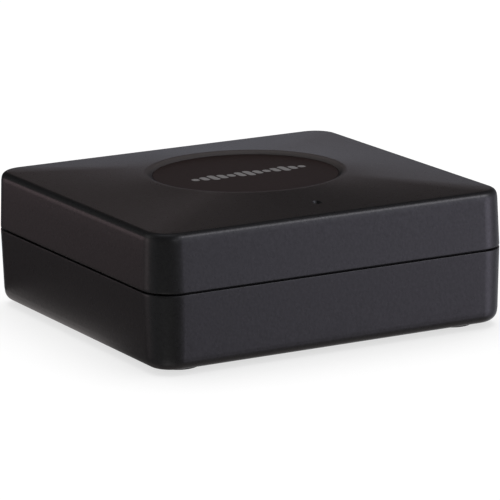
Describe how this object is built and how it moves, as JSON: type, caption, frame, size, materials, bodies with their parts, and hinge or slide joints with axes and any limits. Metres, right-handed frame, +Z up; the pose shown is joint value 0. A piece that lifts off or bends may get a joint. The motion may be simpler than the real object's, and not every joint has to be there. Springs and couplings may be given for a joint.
{
  "type": "bluetooth audio receiver",
  "caption": "Low square desktop box that receives music wirelessly and feeds it to a sound system, with a pairing button and audio and power sockets at the rear.",
  "frame": {"origin": "centre of the footprint, on the plane the rubber feet stand on", "axes": "+Z up, -Y towards the front (the light side), +Y towards the sockets at the rear, +X to the right seen from the front"},
  "size_m": [0.0704, 0.0662, 0.0264],
  "materials": {
    "case": "fine spark-eroded texture, satin",
    "inlay": "flat disc with an even semi-gloss skin",
    "adhesive": "double-sided mounting film",
    "clear": "clear moulded light guide",
    "button": "fine texture with a polished crown",
    "foot": "moulded rubber",
    "label": "blank printed film",
    "screw": "zinc-plated",
    "board": "solder mask over glass-fibre laminate",
    "module": "solder mask over glass-fibre laminate",
    "chip": "moulded epoxy, light grain",
    "tin": "tin-plated",
    "can": "drawn, with a dark base",
    "copper": "gold-flashed copper",
    "contact": "gold-plated spring",
    "ceramic": "fired ceramic",
    "socket": "heat-resistant moulding",
    "lamp": "cast lens on a white carrier"
  },
  "bodies": {
    "case": {"antenna_track": "copper", "audio_converter_chip": "chip", "audio_socket_body": "socket", "audio_socket_ring_contact": "contact", "audio_socket_sleeve_contact": "tin", "audio_socket_tip_contact": "contact", "badge_adhesive": "adhesive", "badge_disc": "inlay", "board_screw_left": "screw", "board_screw_right": "screw", "case_screw_front_left": "screw", "case_screw_front_right": "screw", "case_screw_rear_left": "screw", "case_screw_rear_right": "screw", "chip_capacitor_1": "ceramic", "chip_capacitor_2": "ceramic", "chip_capacitor_3": "ceramic", "chip_capacitor_4": "ceramic", "crystal": "tin", "filter_capacitor_1": "can", "filter_capacitor_2": "can", "filter_capacitor_3": "can", "foot_front_left": "foot", "foot_front_right": "foot", "foot_rear_left": "foot", "foot_rear_right": "foot", "light_pipe": "clear", "lower_shell": "case", "main_board": "board", "memory_chip": "chip", "power_inductor": "chip", "power_socket_insert": "socket", "power_socket_shell": "tin", "radio_board": "module", "radio_chip": "chip", "radio_shield": "tin", "rating_plate": "label", "status_light": "lamp", "switch_base": "socket", "switch_cover": "tin", "switch_dome": "tin", "upper_shell": "case", "voltage_regulator": "chip"},
    "pair_button": {"pair_button": "button"},
    "switch_plunger": {"switch_plunger": "socket"}
  },
  "joints": [
    {"name": "button_press", "type": "slide", "parent": "case", "child": "pair_button", "axis": [0, -1, 0], "range_m": [0, 0.0003]},
    {"name": "plunger_press", "type": "slide", "parent": "case", "child": "switch_plunger", "axis": [0, -1, 0], "range_m": [0, 0.0003]}
  ],
  "couplings": [
    {"joint": "plunger_press", "follows": "button_press", "ratio": 1}
  ]
}
